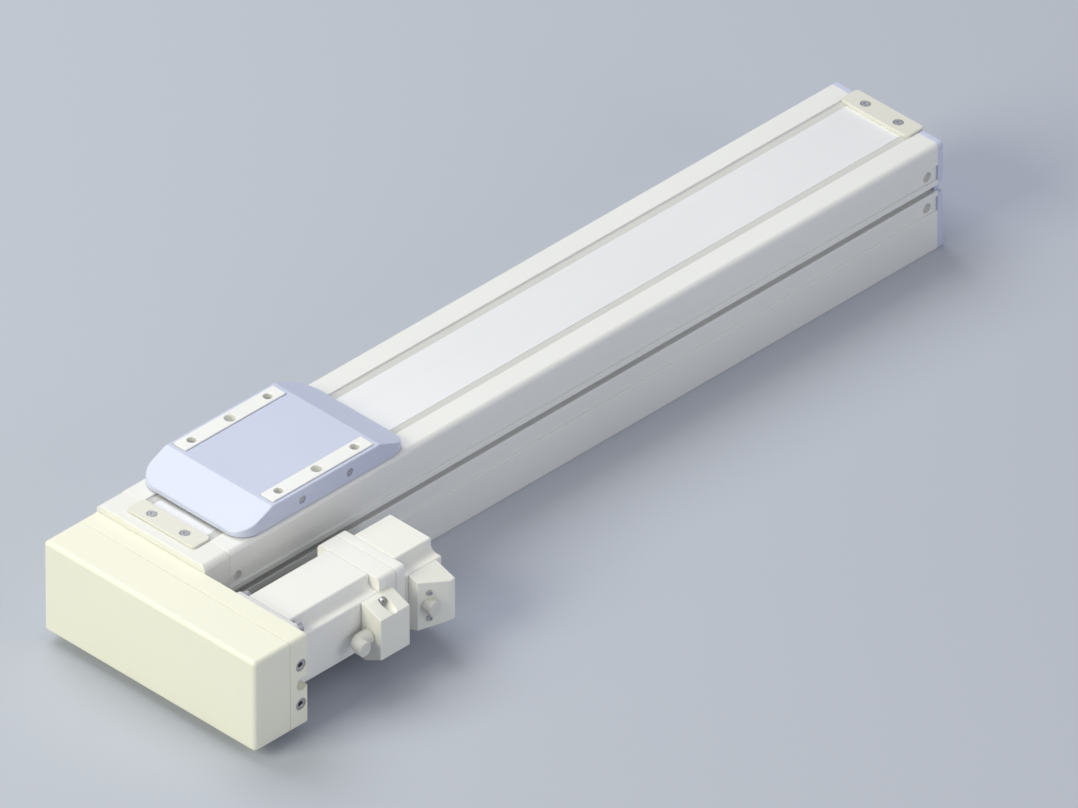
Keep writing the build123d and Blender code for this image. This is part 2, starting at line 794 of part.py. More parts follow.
with BuildPart() as box_cover:
    with BuildSketch(across(plate_front)):
        box_outline()
    extrude(amount=cover_depth)
    front_rim = box_cover.faces().sort_by(Axis.Y)[0].outer_wire().edges()
    fillet(front_rim, box_edge - seat_gap)
    seam_rim = box_cover.faces().sort_by(Axis.Y)[-1].outer_wire().edges()
    chamfer(seam_rim, seam_bevel)
    with BuildSketch(across(plate_front)):
        with Locations((box_centre_x, box_centre_z)):
            RectangleRounded(box_width - 2 * cover_wall, box_height - 2 * cover_wall, cover_inner_radius)
    extrude(amount=cover_depth - cover_wall, mode=Mode.SUBTRACT)
    add(rods(plate_front - cover_boss_length, cover_boss, cover_boss_length, cover_bolt_points))
    hole_depth = cover_bolt_length - plate_thickness + cover_bolt_sink + edge_break
    bore(plate_front - hole_depth, cover_bolt, hole_depth, cover_bolt_points)
save(box_cover.part, "box_cover")

with BuildPart() as drive_end_screws:
    with Locations(*facing(plate_screw_points, plate_front + plate_screw_sink, 90)):
        add(screw_solid(plate_bolt, plate_screw_length))
    with Locations(*facing(end_holes, block_outer + block_screw_sink, 90)):
        add(screw_solid(end_hole_diameter, block_length + end_bolt_reach, end_bolt_head,
                        end_bolt_head_height))
save(drive_end_screws.part, "drive_end_screws")

with BuildPart() as box_screws:
    with Locations(*facing(cover_bolt_points, plate_back - cover_bolt_sink, -90)):
        add(screw_solid(cover_bolt, cover_bolt_length, cover_bolt_head, cover_bolt_head_height))
    with Locations(*[Location((box_right - tension_hole_depth, plate_back - side_screw_y, z), (0, 90, 0))
                     for z in side_screw_zs]):
        add(screw_solid(side_bolt, side_bolt_length, side_screw_head, side_screw_height))
save(box_screws.part, "box_screws")

# Belt drive: one belt round two equal pulleys
belt_near = belt_plane - belt_width / 2
pulley_face = belt_width + 2 * belt_side_gap
pulley_near = belt_plane - pulley_face / 2 - pulley_flange
pulley_far = belt_plane + pulley_face / 2 + pulley_flange
with BuildPart() as drive_belt:
    with BuildSketch(across(belt_near + belt_width)):
        with Locations((motor_x / 2, screw_height)):
            SlotCenterToCenter(motor_x, 2 * belt_outer_radius)
            SlotCenterToCenter(motor_x, 2 * belt_inner_radius, mode=Mode.SUBTRACT)
    extrude(amount=belt_width)
save(drive_belt.part, "drive_belt")


def toothed_pulley(x, bore):
    """Toothed belt pulley with two rims, about an axis along Y."""
    with BuildPart() as pulley:
        with BuildSketch(across(pulley_far)):
            with Locations((x, screw_height)):
                Circle(pulley_outer / 2)
                with PolarLocations(pulley_outer / 2, pulley_teeth):
                    Circle(tooth_depth * 0.75, mode=Mode.SUBTRACT)
        extrude(amount=pulley_far - pulley_near)
        for rim_start in (pulley_far, pulley_near + pulley_flange):
            with BuildSketch(across(rim_start)):
                with Locations((x, screw_height)):
                    Circle(pulley_outer / 2 + pulley_rim)
            extrude(amount=pulley_flange)
        with BuildSketch(across(pulley_far)):
            with Locations((x, screw_height)):
                Circle(bore / 2)
        extrude(amount=pulley_far - pulley_near, mode=Mode.SUBTRACT)
    return pulley.part


save(toothed_pulley(0, journal_diameter), "screw_pulley")
save(toothed_pulley(motor_x, motor_shaft_diameter), "motor_pulley")

# Ball screw with its journals, lock nut and ball nut
journal_near = pulley_near - journal_overhang
journal_far = far_bearing_near + bearing_width + journal_overhang
with BuildPart() as ball_screw:
    with BuildSketch(Plane.YZ) as screw_half:
        with BuildLine():
            Polyline(
                (journal_near, screw_height),
                (journal_near, screw_height + journal_diameter / 2 - edge_break),
                (journal_near + edge_break, screw_height + journal_diameter / 2),
                (bearing_far_end, screw_height + journal_diameter / 2),
                (bearing_far_end, screw_height + screw_diameter / 2),
                (far_bearing_near, screw_height + screw_diameter / 2),
                (far_bearing_near, screw_height + journal_diameter / 2),
                (journal_far - edge_break, screw_height + journal_diameter / 2),
                (journal_far, screw_height + journal_diameter / 2 - edge_break),
                (journal_far, screw_height),
                close=True,
            )
        make_face()
    revolve(axis=Axis((0, 0, screw_height), (0, 1, 0)))
save(ball_screw.part, "ball_screw")

with BuildPart() as screw_lock_nut:
    with BuildSketch(across(bearing_near_end)):
        with Locations((0, screw_height)):
            Circle(lock_nut_diameter / 2)
            with PolarLocations(lock_nut_diameter / 2, 4):
                Rectangle(2 * lock_slot_depth, lock_slot_width, mode=Mode.SUBTRACT)
            Circle(journal_diameter / 2, mode=Mode.SUBTRACT)
    extrude(amount=lock_nut_length)
save(screw_lock_nut.part, "screw_lock_nut")

nut_screw_circle = (nut_diameter + nut_flange_diameter) / 2
nut_bolt_points = [
    (nut_screw_circle / 2 * math.cos(math.radians(angle)),
     screw_height + nut_screw_circle / 2 * math.sin(math.radians(angle)))
    for angle in (45, 135, 225, 315)
]
with BuildPart() as ball_nut:
    with BuildSketch(across(saddle_near)):
        with Locations((0, screw_height)):
            Circle(nut_diameter / 2)
    extrude(amount=-(nut_length - nut_flange_thickness))
    with BuildSketch(across(saddle_near)):
        with Locations((0, screw_height)):
            Circle(nut_flange_diameter / 2)
        with Locations(*nut_bolt_points):
            Circle(nut_bolt / 2 + bolt_gap, mode=Mode.SUBTRACT)
    extrude(amount=nut_flange_thickness)
    chamfer(ball_nut.faces().sort_by(Axis.Y)[-1].outer_wire().edges(), edge_break)
    with BuildSketch(across(saddle_near + nut_length)):
        with Locations((0, screw_height)):
            Circle(screw_diameter / 2 + thread_gap)
    extrude(amount=2 * nut_length, mode=Mode.SUBTRACT)
save(ball_nut.part, "ball_nut")

# Saddle: wings on the runners, a hub for the nut and a neck through the opening
hub_top = roof_bottom - saddle_roof_gap
saddle_width = cavity_width - 2 * saddle_side_gap
neck_width = opening_width - 2 * neck_side_gap
neck_bolt_pitch = table_length - 2 * neck_bolt_inset
neck_screw_points = rectangle_points(neck_bolt_row, neck_bolt_pitch, 0, slide_y)
with BuildPart() as saddle:
    with BuildSketch(across(saddle_near)):
        with Locations((0, runner_top)):
            Rectangle(saddle_width, saddle_wing, align=(Align.CENTER, Align.MIN))
            Rectangle(nut_flange_diameter, hub_top - runner_top, align=(Align.CENTER, Align.MIN))
        with Locations((0, screw_height)):
            Circle(screw_diameter / 2 + screw_room, mode=Mode.SUBTRACT)
    extrude(amount=-saddle_length)
    with BuildSketch(across(slide_y - table_length / 2)):
        with Locations((0, hub_top)):
            Rectangle(neck_width, table_bottom - hub_top, align=(Align.CENTER, Align.MIN))
    extrude(amount=-table_length)
    with BuildSketch(across(saddle_near)):
        with Locations((0, screw_height)):
            Circle(nut_diameter / 2 + ring_gap)
    extrude(amount=-(nut_length - nut_flange_thickness + nut_end_room), mode=Mode.SUBTRACT)
    with BuildSketch(across(saddle_near)):
        with Locations(*nut_bolt_points):
            Circle(nut_bolt / 2)
    extrude(amount=-nut_thread_depth - edge_break, mode=Mode.SUBTRACT)
    with Locations(*[(x, y, table_bottom) for x, y in neck_screw_points]):
        Hole(neck_bolt / 2, neck_bolt_depth)
save(saddle.part, "saddle")

# Runner blocks on the rails
for end, y in (("near", slide_y - runner_spacing / 2), ("far", slide_y + runner_spacing / 2)):
    for side, x in zip(("left", "right"), rail_xs):
        with BuildPart() as runner:
            with BuildSketch(across(y - runner_length / 2)):
                with Locations((x, runner_bottom)):
                    Rectangle(runner_width, runner_top - runner_bottom, align=(Align.CENTER, Align.MIN))
                add(rail_section(x, running_gap), mode=Mode.SUBTRACT)
            extrude(amount=-runner_length)
        save(runner.part, f"runner_{end}_{side}")

# Slide table: floor under the strip, two side beams and the raised mounting pads
table_width = slide_width - 2 * cover_sheet - 2 * running_gap
table_channel = strip_width + 2 * table_channel_gap
table_holes = rectangle_points(table_hole_row, table_hole_pitch, 0, slide_y)
cover_screw_places = [(slide_y + side * cover_screw_y, cover_screw_z) for side in (-1, 1)]
beam_top = slide_top - cover_sheet
pad_top = slide_top + pad_rise
with BuildPart() as slide_table:
    with BuildSketch(across(slide_y - table_length / 2)):
        with Locations((0, table_bottom)):
            Rectangle(table_width, beam_top - table_bottom, align=(Align.CENTER, Align.MIN))
        with Locations((0, table_bottom + table_floor)):
            Rectangle(table_channel, beam_top, align=(Align.CENTER, Align.MIN), mode=Mode.SUBTRACT)
    extrude(amount=-table_length)
    with BuildSketch(Plane.XY.offset(beam_top)):
        with Locations((-pad_centre, slide_y), (pad_centre, slide_y)):
            RectangleRounded(pad_width, pad_length, pad_corner)
    extrude(amount=pad_top - beam_top)
    with Locations(*[(x, y, pad_top) for x, y in table_holes]):
        Hole(tapped_hole_diameter / 2, tapped_hole_depth)
    with Locations((-table_hole_row / 2, slide_y, pad_top), (table_hole_row / 2, slide_y, pad_top)):
        Hole(dowel_hole_diameter / 2, dowel_hole_depth)
    with Locations(*[(x, y, table_bottom + table_floor) for x, y in neck_screw_points]):
        CounterBoreHole(neck_bolt / 2 + bolt_gap, head_of(neck_bolt) / 2 + bolt_gap, neck_bolt_sink,
                        table_floor)
    for side in (-1, 1):
        with BuildSketch(Plane.YZ.offset(side * table_width / 2)):
            with Locations(*cover_screw_places):
                Circle(cover_screw_bolt / 2)
        extrude(amount=-side * (cover_screw_length + bolt_gap), mode=Mode.SUBTRACT)
save(slide_table.part, "slide_table")

with BuildPart() as saddle_screws:
    with Locations(*[(x, y, table_bottom + table_floor - neck_bolt_sink) for x, y in neck_screw_points]):
        add(screw_solid(neck_bolt, neck_bolt_depth, height=neck_bolt_head_height))
    with Locations(*facing(nut_bolt_points, saddle_near - nut_flange_thickness, 90)):
        add(screw_solid(nut_bolt, nut_flange_thickness + nut_thread_depth))
save(saddle_screws.part, "saddle_screws")


def cover_form(inset, bottom):
    """Outer form of the slide cover, or its inside when inset by the sheet's thickness."""
    with BuildPart() as form:
        with BuildSketch(Plane.YZ.offset(-slide_width / 2)):
            with BuildLine():
                Polyline(
                    (slide_near, bottom),
                    (slide_near, slide_band_top),
                    (slide_y - slide_flat_length / 2, slide_top),
                    (slide_y + slide_flat_length / 2, slide_top),
                    (slide_far, slide_band_top),
                    (slide_far, bottom),
                    close=True,
                )
            make_face()
            if inset:
                offset(amount=-inset, kind=Kind.INTERSECTION)
        extrude(amount=slide_width)
        with BuildSketch(Plane.XY.offset(bottom)):
            with Locations((0, slide_y)):
                RectangleRounded(slide_width - 2 * inset, slide_length - 2 * inset, slide_plan_radius - inset)
        extrude(amount=2 * slide_top, mode=Mode.INTERSECT)
    return form.part


with BuildPart() as slide_cover:
    add(cover_form(0, slide_bottom))
    top_face = slide_cover.faces().sort_by(Axis.Z)[-1]
    chamfer(top_face.edges().filter_by(Axis.Y), slide_edge)
    add(cover_form(cover_sheet, slide_bottom - slide_top / 2), mode=Mode.SUBTRACT)
    with BuildSketch(Plane.XY.offset(beam_top)):
        with Locations((-pad_centre, slide_y), (pad_centre, slide_y)):
            RectangleRounded(pad_width + 2 * pad_gap, pad_length + 2 * pad_gap, pad_corner + pad_gap)
    extrude(amount=2 * cover_sheet, mode=Mode.SUBTRACT)
    with BuildSketch(Plane.YZ.offset(-slide_width)):
        with Locations(*cover_screw_places):
            Circle(cover_screw_diameter / 2)
    extrude(amount=2 * slide_width, mode=Mode.SUBTRACT)
save(slide_cover.part, "slide_cover")

with BuildPart() as cover_screws:
    for x, turn in ((-table_width / 2, -90), (table_width / 2, 90)):
        with Locations(*[Location((x, y, z), (0, turn, 0)) for y, z in cover_screw_places]):
            add(screw_solid(cover_screw_bolt, cover_screw_length, cover_screw_diameter - 2 * cover_screw_gap,
                            cover_screw_head))
save(cover_screws.part, "cover_screws")

# Roller holders in the noses, with their pins and rollers
cheek_inner = strip_width / 2 + strip_side_gap
cheek_outer = cheek_inner + holder_cheek
holder_near = press_y - roller_diameter / 2 - holder_end_gap
holder_far = slide_y - table_length / 2
holder_bottom = channel_floor + holder_floor_gap
with BuildPart() as roller_holder:
    for side in (-1, 1):
        with BuildSketch(Plane.YZ.offset(side * (cheek_inner + cheek_outer) / 2)):
            with Locations((holder_near, holder_bottom)):
                Rectangle(holder_far - holder_near, slide_top - holder_bottom,
                          align=(Align.MIN, Align.MIN))
            with Locations((press_y, press_roller_z), (lift_y, lift_roller_z)):
                Circle(roller_pin_diameter / 2, mode=Mode.SUBTRACT)
        extrude(amount=holder_cheek / 2, both=True)
    with BuildSketch(Plane.XY.offset(table_bottom)):
        with Locations((0, holder_far)):
            Rectangle(2 * cheek_inner, holder_bar, align=(Align.CENTER, Align.MAX))
    extrude(amount=table_floor - seat_gap)
    add(cover_form(cover_sheet + running_gap, slide_bottom - slide_top / 2), mode=Mode.INTERSECT)
save(roller_holder.part, "roller_holder_near")
save(mirror(roller_holder.part, about=across(slide_y)), "roller_holder_far")

roller_axes = {
    "press_roller_near": (press_y, press_roller_z),
    "lift_roller_near": (lift_y, lift_roller_z),
    "lift_roller_far": (2 * slide_y - lift_y, lift_roller_z),
    "press_roller_far": (2 * slide_y - press_y, press_roller_z),
}
roller_length = strip_width - 2 * roller_end_inset
for name, (y, z) in roller_axes.items():
    with BuildPart() as roller:
        with BuildSketch(Plane.YZ.offset(-roller_length / 2)):
            with Locations((y, z)):
                Circle(roller_diameter / 2)
                Circle(roller_pin_diameter / 2 + roller_bore_gap, mode=Mode.SUBTRACT)
        extrude(amount=roller_length)
        rims = roller.edges().filter_by(GeomType.CIRCLE).group_by(SortBy.RADIUS)[-1]
        chamfer(rims, roller_edge)
    save(roller.part, name)

with BuildPart() as roller_pins:
    with BuildSketch(Plane.YZ.offset(-cheek_outer)):
        with Locations(*roller_axes.values()):
            Circle(roller_pin_diameter / 2)
    extrude(amount=2 * cheek_outer)
save(roller_pins.part, "roller_pins")

# Rubber stops at both ends of the travel
bumper_z = runner_top + saddle_wing / 2
bumper_row = cavity_width - 2 * bumper_inset
near_bumper_length = saddle_near - slide_back_travel - bumper_gap - near_end
bumper_points = [(-bumper_row / 2, bumper_z), (bumper_row / 2, bumper_z)]
with BuildPart() as bumpers:
    add(rods(near_end, bumper_diameter, near_bumper_length, bumper_points))
    add(rods(far_support_near - far_bumper_length, bumper_diameter, far_bumper_length, bumper_points))
save(bumpers.part, "bumpers")

# Motor: adapter, flange, body, end bell and encoder housing in a row
motor_half = motor_size / 2


def square_section(radius):
    with Locations(motor_axis):
        RectangleRounded(motor_size, motor_size, radius)


def recessed_section():
    """Square with a hollowed step in each corner."""
    with Locations(motor_axis):
        Rectangle(motor_size, motor_size)
        with GridLocations(motor_size, motor_size, 2, 2):
            RectangleRounded(2 * recess_size, 2 * recess_size, recess_inner_radius, mode=Mode.SUBTRACT)


def soften_recess(sketch):
    """Small round on the two outer points of every corner step."""
    corners = [
        v for v in sketch.vertices()
        if max(abs(v.X - motor_x), abs(v.Y - screw_height)) > motor_half - 0.01
    ]
    fillet(corners, recess_outer_radius)


def soften_ends(part, size):
    """Bevel round both end faces, so that each seam of the motor shows as a fine line."""
    for face in (part.faces().sort_by(Axis.Y)[0], part.faces().sort_by(Axis.Y)[-1]):
        chamfer(face.outer_wire().edges(), size)


with BuildPart() as motor_adapter:
    with BuildSketch(across(adapter_near)):
        square_section(motor_corner)
    extrude(amount=-adapter_thickness)
    soften_ends(motor_adapter, seam_bevel)
    bore(adapter_near, pilot_diameter + 2 * seat_gap, adapter_thickness, [motor_axis])
    bore(adapter_near, motor_bolt_diameter + 2 * bolt_gap, adapter_thickness, motor_bolt_points)
save(motor_adapter.part, "motor_adapter")

with BuildPart() as motor_flange:
    with BuildSketch(across(flange_near)):
        square_section(motor_corner)
    extrude(amount=-flange_thickness)
    soften_ends(motor_flange, seam_bevel)
    with BuildSketch(across(flange_near)):
        with Locations(motor_axis):
            Circle(pilot_diameter / 2)
    extrude(amount=pilot_height)
    bore(flange_near - pilot_height, motor_shaft_diameter + shaft_room, flange_thickness + pilot_height,
         [motor_axis])
    bore(flange_near, motor_bolt_diameter + 2 * bolt_gap, flange_thickness, motor_bolt_points)
save(motor_flange.part, "motor_flange")

with BuildPart() as motor_body:
    with BuildSketch(across(motor_near)) as body_section:
        recessed_section()
        soften_recess(body_section)
    extrude(amount=-motor_body_length)
    soften_ends(motor_body, seam_bevel)
    bore(motor_near, rotor_diameter + 2 * stator_gap, motor_body_length, [motor_axis])
    for seat in (motor_near, bell_near - motor_bearing_width):
        bore(seat, motor_bearing_outer, motor_bearing_width, [motor_axis])
save(motor_body.part, "motor_body")

for name, start, length in (("motor_end_bell", bell_near, end_bell_length),
                            ("encoder_base", encoder_base_near, encoder_base_length)):
    with BuildPart() as bell:
        with BuildSketch(across(start)):
            square_section(motor_corner)
        extrude(amount=-length)
        soften_ends(bell, seam_bevel)
        bore(start, motor_shaft_diameter + shaft_room, length, [motor_axis])
    save(bell.part, name)

with BuildPart() as encoder_cover:
    with BuildSketch(across(encoder_near)) as cover_section:
        recessed_section()
        soften_recess(cover_section)
    extrude(amount=-encoder_cover_length)
    soften_ends(encoder_cover, encoder_bevel_size)
    bore(encoder_near, motor_size - 2 * encoder_wall - recess_size, encoder_cover_length - encoder_wall,
         [motor_axis])
save(encoder_cover.part, "encoder_cover")

shaft_near = pulley_near - shaft_past_pulley
shaft_far = encoder_near + encoder_shaft_length
rotor_near = motor_near + motor_bearing_width + rotor_end_gap
rotor_far = bell_near - motor_bearing_width - rotor_end_gap
with BuildPart() as motor_shaft:
    add(rods(shaft_near, motor_shaft_diameter, shaft_far - shaft_near, [motor_axis]))
    add(rods(rotor_near, rotor_diameter, rotor_far - rotor_near, [motor_axis]))
save(motor_shaft.part, "motor_shaft")

disc_near = encoder_near + encoder_disc_place
save(ring_solid(encoder_disc_diameter, motor_shaft_diameter, disc_near,
                disc_near + encoder_disc_thickness, motor_x), "encoder_disc")

motor_bolt_length = flange_thickness + adapter_thickness + motor_bolt_depth - edge_break
with BuildPart() as motor_screws:
    with Locations(*facing(motor_bolt_points, motor_near, -90)):
        add(screw_solid(motor_bolt_diameter, motor_bolt_length))
save(motor_screws.part, "motor_screws")

# Motor connectors with their short cable boots
motor_side = motor_x + motor_half
power_start = bell_near - power_before_bell
power_mid_y = power_start + power_length / 2
power_base_bottom = screw_height - power_base_below
power_base_top = screw_height + power_base_above
power_face_bottom = screw_height - power_face_below
power_face_top = screw_height + power_face_above
power_screw_zs = (power_base_bottom + notch_inset, power_base_top - notch_inset)
power_screw_points = [(power_mid_y, z) for z in power_screw_zs]
with BuildPart() as power_connector:
    with BuildSketch(across(power_start)):
        with BuildLine():
            Polyline(
                (motor_side, power_base_bottom),
                (motor_side + connector_land, power_base_bottom),
                (motor_side + power_reach, power_face_bottom),
                (motor_side + power_reach, power_face_top),
                (motor_side + connector_land, power_base_top),
                (motor_side, power_base_top),
                close=True,
            )
        make_face()
    extrude(amount=-power_length)
    side_edges = power_connector.edges().filter_by(Axis.X, reverse=True).filter_by(Axis.Y, reverse=True)
    chamfer(side_edges, power_edge)
    with BuildSketch(Plane.YZ.offset(motor_side + connector_land)):
        with Locations(*power_screw_points):
            Circle(notch_radius)
    extrude(amount=power_reach, mode=Mode.SUBTRACT)
    with BuildSketch(Plane.YZ.offset(motor_side)):
        with Locations(*power_screw_points):
            Circle(connector_bolt / 2)
    extrude(amount=connector_land, mode=Mode.SUBTRACT)
save(power_connector.part, "power_connector")

power_exit_x = motor_side + power_cable_x
power_exit_z = screw_height - power_cable_drop
with BuildPart() as power_boot:
    with BuildLine() as boot_path:
        FilletPolyline(
            (power_exit_x, power_start, power_exit_z),
            (power_exit_x, power_start - power_cable_reach, power_exit_z),
            (power_exit_x + power_cable_turn, power_start - power_cable_reach, power_exit_z),
            radius=power_cable_bend,
        )
    with BuildSketch(across(power_start)):
        with Locations((power_exit_x, power_exit_z)):
            Circle(power_cable_diameter / 2)
    sweep(path=boot_path.wire())

encoder_start = encoder_near + encoder_after_base
encoder_face_bottom = screw_height - encoder_face_below
encoder_face_top = screw_height + encoder_face_above
encoder_mid_z = (encoder_face_bottom + encoder_face_top) / 2
encoder_cable_z = screw_height - encoder_cable_drop
boot_y = encoder_start + encoder_cable_y
slant_run = encoder_reach - encoder_step
encoder_screw_zs = [encoder_cable_z + side * encoder_screw_pitch / 2 for side in (-1, 1)]


def on_slant(z):
    """Place on the encoder connector's slanted face, level with its cable, looking outwards."""
    x = motor_side + encoder_step + (boot_y - encoder_start) * slant_run / encoder_slant
    return Plane(origin=(x, boot_y, z), z_dir=(encoder_slant, -slant_run, 0)).location


with BuildPart() as encoder_connector:
    with BuildSketch(Plane.XY.offset(encoder_mid_z)):
        with BuildLine():
            Polyline(
                (motor_side, encoder_start),
                (motor_side + encoder_step, encoder_start),
                (motor_side + encoder_reach, encoder_start + encoder_slant),
                (motor_side + encoder_reach, encoder_start + encoder_length),
                (motor_side, encoder_start + encoder_length),
                close=True,
            )
        make_face()
    extrude(amount=(encoder_face_top - encoder_face_bottom) / 2 + encoder_bevel, both=True)
    with BuildSketch(across(encoder_start)):
        with BuildLine():
            Polyline(
                (motor_side, encoder_face_bottom - encoder_bevel),
                (motor_side + encoder_reach, encoder_face_bottom),
                (motor_side + encoder_reach, encoder_face_top),
                (motor_side, encoder_face_top + encoder_bevel),
                close=True,
            )
        make_face()
    extrude(amount=-encoder_length, mode=Mode.INTERSECT)
    for z in encoder_screw_zs:
        with Locations(on_slant(z)):
            Cylinder(connector_bolt / 2, 2 * connector_land, mode=Mode.SUBTRACT)
save(encoder_connector.part, "encoder_connector")

with BuildPart() as encoder_boot:
    with BuildSketch(Plane.YZ.offset(motor_side + encoder_reach)):
        with Locations((boot_y, encoder_cable_z)):
            Circle(encoder_cable_diameter / 2)
    extrude(amount=-encoder_reach + encoder_step)
    add(encoder_connector.part, mode=Mode.SUBTRACT)
save(group_of([power_boot.part, encoder_boot.part]), "cable_boots")

with BuildPart() as connector_screws:
    screw_seat_x = motor_side + connector_land
    with Locations(*[Location((screw_seat_x, y, z), (0, 90, 0)) for y, z in power_screw_points]):
        add(screw_solid(connector_bolt, connector_land, connector_screw_head, connector_head_height))
    for z in encoder_screw_zs:
        with Locations(on_slant(z)):
            add(screw_solid(connector_bolt, connector_land, encoder_screw_head, encoder_screw_height))
save(connector_screws.part, "connector_screws")
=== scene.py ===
import json
import math

import bpy
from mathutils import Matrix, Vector


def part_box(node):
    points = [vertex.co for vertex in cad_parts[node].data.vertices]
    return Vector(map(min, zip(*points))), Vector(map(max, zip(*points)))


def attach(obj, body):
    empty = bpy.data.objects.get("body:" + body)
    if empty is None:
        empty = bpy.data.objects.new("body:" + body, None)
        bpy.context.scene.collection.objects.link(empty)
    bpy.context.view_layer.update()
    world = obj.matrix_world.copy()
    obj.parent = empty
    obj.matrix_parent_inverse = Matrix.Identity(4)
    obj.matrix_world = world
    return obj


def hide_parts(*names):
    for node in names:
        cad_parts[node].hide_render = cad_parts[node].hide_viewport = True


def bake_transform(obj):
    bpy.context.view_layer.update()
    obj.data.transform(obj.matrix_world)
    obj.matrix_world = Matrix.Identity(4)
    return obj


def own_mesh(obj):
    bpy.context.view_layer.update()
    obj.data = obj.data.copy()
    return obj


# Ball screw linear module: finishes, fine edges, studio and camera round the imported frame.
# Lengths in the dictionaries are in millimetres and angles in degrees, where nothing else is said.

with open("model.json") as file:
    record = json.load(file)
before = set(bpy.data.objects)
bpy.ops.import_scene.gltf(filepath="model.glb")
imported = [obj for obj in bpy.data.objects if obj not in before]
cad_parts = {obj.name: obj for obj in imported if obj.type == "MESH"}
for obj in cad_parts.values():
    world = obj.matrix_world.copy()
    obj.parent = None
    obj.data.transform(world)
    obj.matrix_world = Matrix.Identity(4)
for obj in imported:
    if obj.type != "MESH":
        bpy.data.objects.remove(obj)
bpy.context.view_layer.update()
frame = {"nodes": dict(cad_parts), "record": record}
nodes = frame["nodes"]
bodies = frame["record"]["behaviour"]["bodies"]
joints = frame["record"]["behaviour"]["joints"]
bodyOfNode = {node: body for body, members in bodies.items() for node in members}
slotOfNode = {part["node"]: part["material_slot"] for part in frame["record"]["subparts"]}
millimetre = 0.001
print("frame loaded:", len(nodes), "nodes")


# Shader maths

class Wire:
    # one socket's value: sums and products on it add Math nodes
    def __init__(self, finish, socket):
        self.finish = finish
        self.socket = socket

    def maths(self, operation, first, second=None):
        values = {0: first} if second is None else {0: first, 1: second}
        return self.finish.node("ShaderNodeMath", {"operation": operation}, values)

    def __add__(self, other):
        return self.maths("ADD", self, other)

    def __sub__(self, other):
        return self.maths("SUBTRACT", self, other)

    def __rsub__(self, other):
        return self.maths("SUBTRACT", other, self)

    def __mul__(self, other):
        return self.maths("MULTIPLY", self, other)

    def sine(self):
        return self.maths("SINE", self)

    def above(self, edge):
        return self.maths("GREATER_THAN", self, edge)

    def swing(self, amount):
        # a noise of 0 to 1 as a swing to both sides of zero
        return (self - 0.5) * amount

    __radd__ = __add__
    __rmul__ = __mul__


class Finish:
    # one material: node() adds any node, its settings first and then its sockets
    def __init__(self, name):
        self.material = bpy.data.materials.new(name)
        self.material.use_nodes = True
        self.tree = self.material.node_tree
        self.shader = self.tree.nodes["Principled BSDF"]
        self.place = self.node("ShaderNodeTexCoord", {}, {}, "Object")

    def put(self, socket, value):
        if isinstance(value, Wire):
            self.tree.links.new(value.socket, socket)
        else:
            socket.default_value = value

    def node(self, kind, settings, sockets, output=0):
        made = self.tree.nodes.new(kind)
        for key, value in settings.items():
            setattr(made, key, value)
        for key, value in sockets.items():
            self.put(made.inputs[key], value)
        return Wire(self, made.outputs[output])

    def stretched(self, x, y, z):
        # object coordinates with their own density along each axis, per metre
        return self.node("ShaderNodeMapping", {}, {"Vector": self.place, "Scale": (x, y, z)})

    def axis(self, letter):
        return self.node("ShaderNodeSeparateXYZ", {}, {"Vector": self.place}, letter)

    def noise(self, vector, scale=1.0, detail=2.0, roughness=0.5):
        sockets = {"Vector": vector, "Scale": scale, "Detail": detail, "Roughness": roughness}
        return self.node("ShaderNodeTexNoise", {}, sockets, "Fac")

    def blend(self, factor, first, second):
        # colour between two colours or wires
        sockets = {0: factor}
        for index, colour in ((6, first), (7, second)):
            sockets[index] = colour if isinstance(colour, Wire) else (*colour, 1.0)
        return self.node("ShaderNodeMix", {"data_type": "RGBA"}, sockets, 2)

    def relief(self, height, distance, under=None):
        sockets = {"Height": height, "Distance": distance, "Strength": 1.0}
        if under is not None:
            sockets["Normal"] = under
        return self.node("ShaderNodeBump", {}, sockets)

    def set(self, **values):
        for key, value in values.items():
            self.put(self.shader.inputs[key.replace("_", " ")], value)
        return self.material


# Finishes: densities of noise are per metre, depths and pitches in metres

def anodised(name, look):
    # satin aluminium: fine blasted grain, faint draw lines and slow colour drift
    finish = Finish(name)
    grain = finish.noise(finish.place, look["grain"])
    lines = finish.noise(finish.stretched(*look["lines"]), detail=3.0, roughness=0.6)
    drift = finish.noise(finish.place, look["drift"])
    tone = finish.blend(drift, look["dark"], look["light"])
    colour = finish.blend(lines * look["lineTint"], tone, look["dark"])
    rough = look["roughness"] + grain.swing(look["roughGrain"]) + lines.swing(look["roughLines"])
    soft = finish.relief(grain, look["grainDepth"])
    normal = finish.relief(lines, look["lineDepth"], soft)
    return finish.set(Base_Color=colour, Metallic=look["metallic"], Roughness=rough, Normal=normal)


def powderCoat(name, look):
    # painted sheet or casting: orange peel under a thin clear layer, with a fine dust of lighter specks
    finish = Finish(name)
    peel = finish.noise(finish.place, look["peel"])
    speck = finish.noise(finish.place, look["peel"] * look["speckFine"], detail=1.0)
    drift = finish.noise(finish.place, look["drift"], detail=3.0)
    tone = finish.blend(drift, look["dark"], look["light"])
    colour = finish.blend(speck.above(look["speckFrom"]) * look["speckTint"], tone, look["speck"])
    rough = look["roughness"] + peel.swing(look["roughPeel"]) + drift.swing(look["roughDrift"])
    normal = finish.relief(peel, look["peelDepth"])
    return finish.set(
        Base_Color=colour, Roughness=rough, Normal=normal,
        Coat_Weight=look["coat"], Coat_Roughness=look["coatRoughness"],
    )


